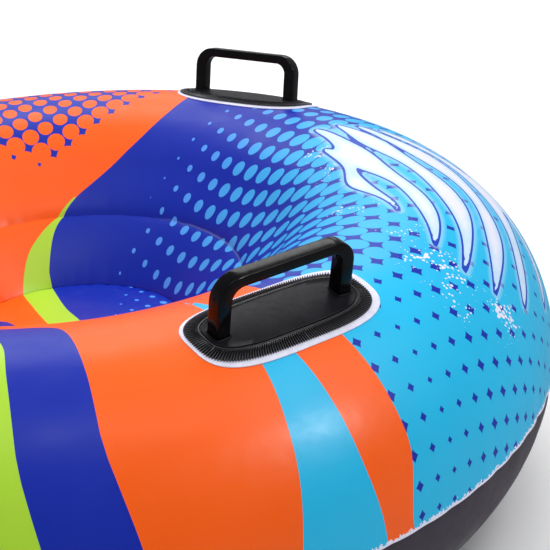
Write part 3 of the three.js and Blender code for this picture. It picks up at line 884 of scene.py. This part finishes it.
def grip_mesh(site):
    loops = []
    for inner, outer in grip_stations():
        inner, outer = np.array(inner), np.array(outer)
        middle, half = (inner + outer) / 2, (outer - inner) / 2
        size = np.hypot(*half)
        section = box_loop(size, GRIP_DEPTH / 2, 2.2)
        flat = middle + section[:, :1] / size * half
        loops.append(np.concatenate([flat, section[:, 1:]], 1))
    return capped(site.rigid(np.array(loops)))


def collar_mesh(site, side):
    """The thin rim round a post's foot."""
    x0 = side * POST_SPAN / 2
    loops = []
    for grow, height in ((0.4, 3.0), (0.4, 4.9), (0.9, 5.3), (1.6, 5.2), (2.1, 4.6), (2.1, 3.0)):
        ring = box_loop(POST_THICK / 2 + grow, GRIP_DEPTH / 2 + grow, 2.6 + grow)
        loops.append(np.stack([ring[:, 0] + x0, height + 0 * ring[:, 0], ring[:, 1]], 1))
    return ringed(site.wrapped(np.array(loops)))


def add_handle(side, sign):
    patch = Site(sign * HANDLE_RING_DEG, HANDLE_TUBE_DEG)
    site = Site(sign * FITTING_RING_DEG, HANDLE_TUBE_DEG)
    insert = joined(plate_mesh(site), collar_mesh(site, 1), collar_mesh(site, -1))
    parts = (
        ("backing", backing_mesh(patch), WHITE_VINYL, "white_vinyl"),
        ("flange", flange_mesh(site), RUBBER, "black_rubber"),
        ("insert", insert, PLATE, "black_rubber"),
        ("grip", grip_mesh(site), GLOSS, "black_plastic"),
    )
    for part, mesh, material, slot in parts:
        piece = add_piece(f"{side}_{part}", *mesh, material, sharp_deg=35)
        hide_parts(f"{side}_handle_{part}")


add_handle("left", 1)
add_handle("right", -1)

for name in ("chamber_wall", "outer_baffle", "inner_baffle"):
    NODES[name].data.materials.clear()
    NODES[name].data.materials.append(INNER_VINYL)


# ---------------------------------------------------------------- tow point

TOW_PATCH_DEG, TOW_PATCH_LENGTH, TOW_PATCH_WIDTH = -27.0, 120.0, 84.0
STRAP_WIDTH, STRAP_TOP_DEG, STRAP_LOOP_DEG = 40.0, -14.0, -34.0
LAYER_R = TUBE_R + 3.45  # middle of the strap's lower layer; the upper one lies 1 mm above it
LOOP_R = TUBE_R + 9.3  # where the ring's bar runs
TOW_WIRE, TOW_EYE_HALF, TOW_EYE_HEIGHT = 6.0, 23.0, 34.0


def section_points(deg, radius):
    """[r, z] of points round the middle of the tube's section."""
    a = np.radians(deg)
    return np.stack([RING_R + radius * np.cos(a), RING_Z + radius * np.sin(a)], -1)


def tow_patch_mesh():
    rows = [(59, 0.1), (1, 0.1), (0.1, 0.5), (0.2, 1.6), (1.4, 2.2), (4.6, 2.3), (5.6, 1.9), (6.6, 2.3),
            (28, 2.3), (45, 2.3), (59, 2.3)]
    angle = even_angles(TOW_PATCH_LENGTH, TOW_PATCH_WIDTH, 0, 160)
    site = Site(0, TOW_PATCH_DEG)
    return shrinking(site, rows, angle, TOW_PATCH_LENGTH, TOW_PATCH_WIDTH, TOW_PATCH_WIDTH / 3)


def strap_path():
    """Down the upper layer, round the ring's bar and back up the lower layer, as [r, z]."""
    upper = section_points(np.linspace(STRAP_TOP_DEG, -27, 14), LAYER_R + 1.05)
    rise = section_points(np.array([-28.6, -30.1, -31.3, -32.2]), LAYER_R + np.array([1.7, 3.6, 6.2, 8.9]))
    middle = section_points(STRAP_LOOP_DEG, LOOP_R)
    turn = radians(STRAP_LOOP_DEG) + np.radians(np.linspace(48, -168, 22))
    round_bar = middle + 5.1 * np.stack([np.cos(turn), np.sin(turn)], 1)
    lower = section_points(np.linspace(-32, STRAP_TOP_DEG, 16), LAYER_R)
    return np.concatenate([upper, rise, round_bar, lower])


def strap_mesh():
    path = strap_path()
    way = np.gradient(path, axis=0)
    way /= np.linalg.norm(way, axis=1, keepdims=True)
    side = np.stack([way[:, 1], -way[:, 0]], 1)
    section = box_loop(STRAP_WIDTH / 2, 0.5, 0.4, 3)
    loops = []
    for place, normal in zip(path, side):
        flat = place + section[:, 1:] * normal
        loops.append(np.stack([flat[:, 0], section[:, 0], flat[:, 1]], 1))
    return capped(np.array(loops))


def stitch_places():
    """Where each stitch of the strap's box with a cross is, as degrees up the tube and mm across,
    and the way it runs, up and across."""
    top, bottom, half = STRAP_TOP_DEG - 1.2, -25.5, STRAP_WIDTH / 2 - 4
    corners = [(top, -half), (top, half), (bottom, half), (bottom, -half), (top, -half), (bottom, half),
               (top, half), (bottom, -half)]
    places = []
    for (a0, y0), (a1, y1) in zip(corners, corners[1:]):
        length = np.hypot(radians(a1 - a0) * LAYER_R, y1 - y0)
        for t in (np.arange(round(length / 3.4)) + 0.5) / round(length / 3.4):
            places.append((a0 + (a1 - a0) * t, y0 + (y1 - y0) * t, radians(a1 - a0) * LAYER_R, y1 - y0))
    return places


def stitches_mesh():
    parts = []
    for deg, across, along_way, across_way in stitch_places():
        facing = radians(deg)
        up = np.array([cos(facing), 0, sin(facing)])
        down = np.array([-sin(facing), 0, cos(facing)])
        level = np.array([0.0, 1.0, 0.0])
        way = (down * along_way + level * across_way) / np.hypot(along_way, across_way)
        beside = np.cross(up, way)
        r, z = section_points(deg, LAYER_R + 1.5)
        middle = np.array([r, across, z])
        loops = []
        for t in np.linspace(-0.96, 0.96, 5):
            turn = np.linspace(0, 2 * pi, 6, endpoint=False)
            round_it = 0.42 * np.sqrt(1 - t * t)
            ring = np.cos(turn)[:, None] * beside + np.sin(turn)[:, None] * up
            loops.append(middle + way * t * 1.25 + ring * round_it)
        parts.append(capped(np.array(loops)))
    return joined(*parts)


def tow_ring_path():
    """The D of the tow ring round its wire's middle, as [across, up]."""
    half, corner = TOW_EYE_HALF + TOW_WIRE / 2, 6.0
    low = -TOW_WIRE / 2 - TOW_EYE_HEIGHT + TOW_EYE_HALF
    bar = [(x, 0) for x in np.linspace(-half + corner, half - corner, 12)]
    turn = np.linspace(0.2, pi / 2, 7)
    bend = [(half - corner + corner * sin(a), -corner + corner * cos(a)) for a in turn]
    bow = [(half * cos(a), low + half * sin(a)) for a in np.linspace(0, -pi, 40)]
    return np.array(bar + bend + bow + [(-x, y) for x, y in reversed(bend)])


def tow_ring_mesh():
    path = tow_ring_path()
    way = np.roll(path, -1, 0) - np.roll(path, 1, 0)
    way /= np.linalg.norm(way, axis=1, keepdims=True)
    turn = np.linspace(0, 2 * pi, 20, endpoint=False)
    r, z = section_points(STRAP_LOOP_DEG, LOOP_R)
    loops = []
    for (across, up), (wy, wz) in zip(path, way):
        out = np.array([0, -wz, wy])
        ring = np.cos(turn)[:, None] * out + np.sin(turn)[:, None] * np.array([1.0, 0, 0])
        loops.append(np.array([r, across, z + up]) + ring * (TOW_WIRE / 2 - 0.05))
    return ringed(np.array(loops))


def add_replacement(name, mesh, material, node, body="tube", sharp_deg=40):
    piece = add_piece(name, *mesh, material, body, sharp_deg)
    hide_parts(node)


add_replacement("tow_patch_oval", tow_patch_mesh(), DARK_VINYL, "tow_patch")
add_replacement("tow_webbing", strap_mesh(), WEBBING, "tow_strap")
add_replacement("tow_d_ring", tow_ring_mesh(), STEEL, "tow_ring", "tow_ring", 60)
stitches = add_piece("tow_stitches", *stitches_mesh(), THREAD)


# ---------------------------------------------------------------- valves

def lathed(profile, around, count=96, ribs=0, rib_depth=0.0):
    """A turned body of rows of [radius, height, ribbed]; around places its points."""
    turn = np.linspace(0, 2 * pi, count, endpoint=False)
    loops = []
    for r, height, ribbed in profile:
        out = r - ribbed * rib_depth * (0.5 - 0.5 * np.cos(ribs * turn))
        loops.append(np.stack([out * np.cos(turn), height + 0 * turn, out * np.sin(turn)], 1))
    return capped(around(np.array(loops))) if profile[0][0] < 1 else ringed(around(np.array(loops)))


def lug_mesh(site, hinge, low, high):
    """The block at the edge of a stopper or a cap that carries the hinge between them."""
    loops = []
    outline = box_loop(4.6, 2.2, 1.0)
    for grow, height in ((-0.4, low), (0, low + 0.4), (0, high - 0.4), (-0.4, high)):
        ring = outline * (1 + grow / 4.6)
        loops.append(np.stack([ring[:, 0], height + 0 * ring[:, 0], ring[:, 1] + hinge * 17.2], 1))
    return capped(site.rigid(np.array(loops)))


def valve_base(site):
    flange = [(16.8, 0.2, 0), (27.4, 0.2, 0), (28, 0.6, 0), (27.8, 1.2, 0), (26.6, 1.6, 0), (25, 1.8, 0),
              (24.2, 1.5, 0), (23.4, 1.8, 0), (20, 1.8, 0), (16.8, 1.9, 0)]
    neck = [(15, -14, 0), (18.2, -14, 0), (18.5, -13.4, 0), (18.5, 0.5, 0), (18.9, 1.4, 0), (18.5, 2.2, 0),
            (18.4, 3.4, 0), (17.8, 4, 0), (15.6, 4, 0), (15, 3.4, 0)]
    return joined(lathed(flange, site.wrapped), lathed(neck, site.rigid))


def valve_stopper(site, hinge):
    thread = [(14.5 if k % 2 else 13.9, -9.2 + k * 1.1, 0) for k in range(12)]
    body = [(9.2, -10, 0), (14.0, -10, 0), *thread, (14.2, 4.3, 0), (17, 4.3, 0.6), (17.4, 4.7, 1),
            (17.4, 6.1, 1), (17, 6.5, 0.6), (15, 6.5, 0), (14.6, 6.2, 0), (10, 6.2, 0), (9.2, 5.8, 0)]
    return joined(lathed(body, site.rigid, 192, 32, 0.5), lug_mesh(site, hinge, 4.4, 6.4))


def valve_cap(site, hinge):
    body = [(0.1, 3.5, 0), (6.8, 3.5, 0), (7.6, 4.1, 0), (7.8, 5, 0), (7.4, 6.8, 0), (16.8, 6.9, 0.6),
            (17.4, 7.3, 1), (17.4, 8.6, 1), (16.8, 9.2, 0.6), (13.4, 9.2, 0), (12.8, 8.7, 0), (5, 8.7, 0),
            (4.4, 8.9, 0), (3, 8.9, 0), (0.1, 8.8, 0)]
    lip = []
    outline = box_loop(5.0, 1.3, 0.9)
    for reach, height in ((-17.0, 7.2), (-17.2, 7.6), (-17.2, 8.4), (-17.0, 8.8)):
        lip.append(np.stack([outline[:, 0], height + 0 * outline[:, 0], outline[:, 1] + hinge * reach], 1))
    return joined(lathed(body, site.rigid, 192, 32, 0.5), lug_mesh(site, hinge, 7.0, 9.1),
                  capped(site.rigid(np.array(lip))))


def valve_flap(site):
    body = [(0.1, -11.3, 0), (9.4, -11.3, 0), (10.4, -11.1, 0), (10.5, -10.8, 0), (10.2, -10.4, 0),
            (9.4, -10.35, 0), (8.8, -10.5, 0), (0.1, -10.5, 0)]
    return lathed(body, site.rigid, 64)


def add_valve(valve, site, hinge):
    parts = (("base", valve_base(site), CLEAR, "clear_plastic", "tube"),
             ("stopper", valve_stopper(site, hinge), CLEAR, "clear_plastic", f"{valve}_stopper"),
             ("cap", valve_cap(site, hinge), CLEAR, "clear_plastic", f"{valve}_cap"),
             ("flap", valve_flap(site), SILICONE, "silicone", f"{valve}_flap"))
    for part, mesh, material, slot, body in parts:
        add_replacement(f"{valve}_{part}_moulding", mesh, material, f"{valve}_{part}", body, 30)


add_valve("ring_valve", ring_valve_site, -1)
add_valve("seat_valve", seat_valve_site, 1)


# ---------------------------------------------------------------- studio

def add_light(name, place, aim, size, watts, mirrored=True, lighting=True):
    """A softbox. One that isn't mirrored lights the scene without a reflection of its own, and
    one that isn't lighting makes only a reflection."""
    light = bpy.data.lights.new(name, "AREA")
    light.shape = "RECTANGLE"
    light.size, light.size_y = size
    light.energy = watts
    lamp = bpy.data.objects.new(name, light)
    lamp.location = place
    lamp.rotation_mode = "QUATERNION"
    lamp.rotation_quaternion = (Vector(aim) - Vector(place)).to_track_quat("-Z", "Y")
    lamp.visible_glossy = mirrored
    lamp.visible_diffuse = lighting
    bpy.context.scene.collection.objects.link(lamp)


def add_floor():
    shader = Shader("studio floor")
    shade = shader.ramp(shader.noise(3, 2), 0.0, 1.0, 0.3, 0.7)
    colour = shader.mix(shade, (0.955, 0.955, 0.96, 1), (0.975, 0.975, 0.98, 1))
    material = shader.finish(colour, 0.9)
    mesh = bpy.data.meshes.new("floor")
    far = 30.0
    mesh.from_pydata([(-far, -far, 0), (far, -far, 0), (far, far, 0), (-far, far, 0)], [], [(0, 1, 2, 3)])
    mesh.materials.append(material)
    floor = bpy.data.objects.new("floor", mesh)
    bpy.context.scene.collection.objects.link(floor)
    floor.visible_glossy = False


def add_camera():
    place, aim = Vector((0.1887, -1.6178, 0.9777)), Vector((0.2712, 0.1417, 0.1919))
    roll = radians(-2.65)
    camera = bpy.data.cameras.new("camera")
    camera.sensor_width = 36.0
    camera.lens = 90.4
    mount = bpy.data.objects.new("camera", camera)
    mount.location = place
    mount.rotation_mode = "QUATERNION"
    mount.rotation_quaternion = (aim - place).to_track_quat("-Z", "Y") @ Quaternion((0, 0, 1), roll)
    bpy.context.scene.collection.objects.link(mount)
    bpy.context.scene.camera = mount


def light_studio():
    world = bpy.data.worlds.new("studio")
    world.use_nodes = True
    background = world.node_tree.nodes["Background"]
    background.inputs["Color"].default_value = (0.95, 0.97, 1.0, 1)
    background.inputs["Strength"].default_value = 0.34
    bpy.context.scene.world = world
    bpy.context.scene.view_settings.view_transform = "Standard"
    add_light("overhead", (0.2, 0.9, 4.2), (0.2, 0.9, 0), (6.0, 6.0), 192, mirrored=False)
    add_light("front fill", (-0.8, -3.4, 2.6), (0.2, 0, 0.2), (3.0, 2.0), 10, mirrored=False)
    add_light("back softbox", (0.1, 2.3, 2.5), (0.2, -0.1, 0.3), (2.4, 0.8), 22)
    add_light("right window", (2.05, -1.32, 1.86), (0.27, -0.5, 0.31), (0.28, 0.6), 36, lighting=False)
    add_light("edge strip", (0.2, -1.1, 3.0), (0.25, -0.4, 0.4), (1.8, 0.06), 10, lighting=False)
    add_light("right softbox", (2.0, -0.3, 2.8), (0.2, -0.1, 0.2), (1.4, 1.4), 18)
    add_light("low back strip", (0.3, 3.6, 1.7), (0.2, 0.2, 0.3), (2.6, 0.7), 9)


add_floor()
light_studio()
add_camera()
